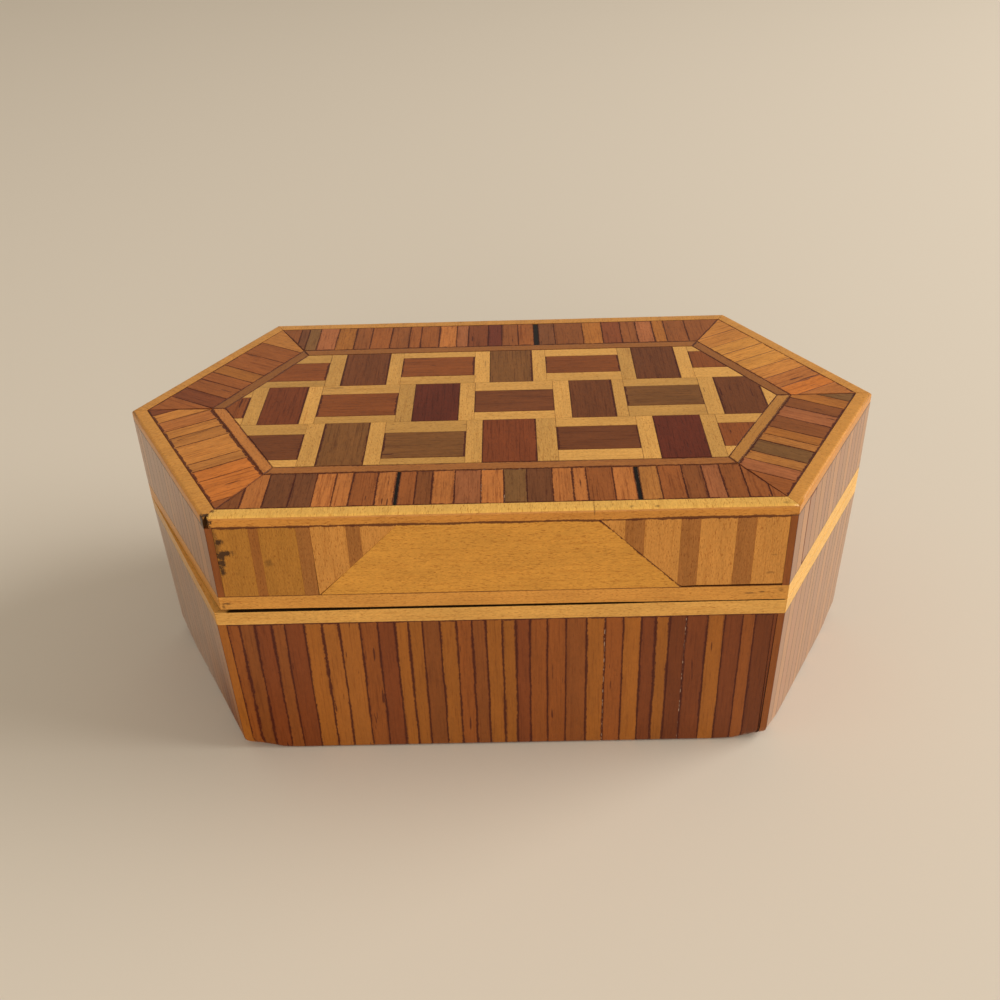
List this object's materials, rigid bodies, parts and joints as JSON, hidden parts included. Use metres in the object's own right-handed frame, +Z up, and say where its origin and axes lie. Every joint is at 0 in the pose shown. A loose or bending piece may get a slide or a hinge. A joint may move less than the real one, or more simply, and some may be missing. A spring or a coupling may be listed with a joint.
{
  "type": "inlaid wooden trinket box",
  "caption": "Long hexagonal wooden box with strip-inlaid sides, a basket-weave inlaid lid and a lid that swings up on brass butt hinges at the back.",
  "frame": {"origin": "middle of the flat underside, on the surface the box stands on", "axes": "+X along the length to the right seen from the front, +Y to the back where the hinges are, +Z up"},
  "size_m": [0.1, 0.056, 0.0375],
  "materials": {
    "carcass_wood": "plain fine-grained wood, thinly sealed",
    "strip_wood": "mixed brown and red-brown woods under satin varnish",
    "light_wood": "golden light wood under satin varnish",
    "dark_wood": "dark brown and olive-brown woods under satin varnish",
    "brass": "lightly aged brass"
  },
  "bodies": {
    "base": {"base_floor": "carcass_wood", "base_front_wall": "carcass_wood", "base_front_right_wall": "carcass_wood", "base_back_right_wall": "carcass_wood", "base_back_wall": "carcass_wood", "base_back_left_wall": "carcass_wood", "base_front_left_wall": "carcass_wood", "base_front_facing": "strip_wood", "base_front_right_facing": "strip_wood", "base_back_right_facing": "strip_wood", "base_back_facing": "strip_wood", "base_back_left_facing": "strip_wood", "base_front_left_facing": "strip_wood", "base_rim_strips": "light_wood", "left_hinge_base_leaf": "brass", "right_hinge_base_leaf": "brass", "left_hinge_pin": "brass", "right_hinge_pin": "brass", "base_hinge_screws": "brass"},
    "lid": {"lid_board": "carcass_wood", "lid_front_wall": "carcass_wood", "lid_front_right_wall": "carcass_wood", "lid_back_right_wall": "carcass_wood", "lid_back_wall": "carcass_wood", "lid_back_left_wall": "carcass_wood", "lid_front_left_wall": "carcass_wood", "lid_front_panel": "light_wood", "lid_front_left_stripes": "light_wood", "lid_front_right_stripes": "light_wood", "lid_front_right_facing": "strip_wood", "lid_back_right_facing": "strip_wood", "lid_back_facing": "strip_wood", "lid_back_left_facing": "strip_wood", "lid_front_left_facing": "strip_wood", "lid_rim_strips": "light_wood", "lid_edging": "light_wood", "front_band": "strip_wood", "front_right_band": "strip_wood", "back_right_band": "strip_wood", "back_band": "strip_wood", "back_left_band": "strip_wood", "front_left_band": "strip_wood", "light_line": "light_wood", "weave_dark_blocks": "dark_wood", "weave_light_bars": "light_wood", "left_hinge_lid_leaf": "brass", "right_hinge_lid_leaf": "brass", "lid_hinge_screws": "brass"}
  },
  "joints": [
    {"name": "lid_hinge", "type": "hinge", "parent": "base", "child": "lid", "pos_m": [0, 0.02805, 0.02385], "axis": [-1, 0, 0], "range_deg": [0, 180]}
  ]
}
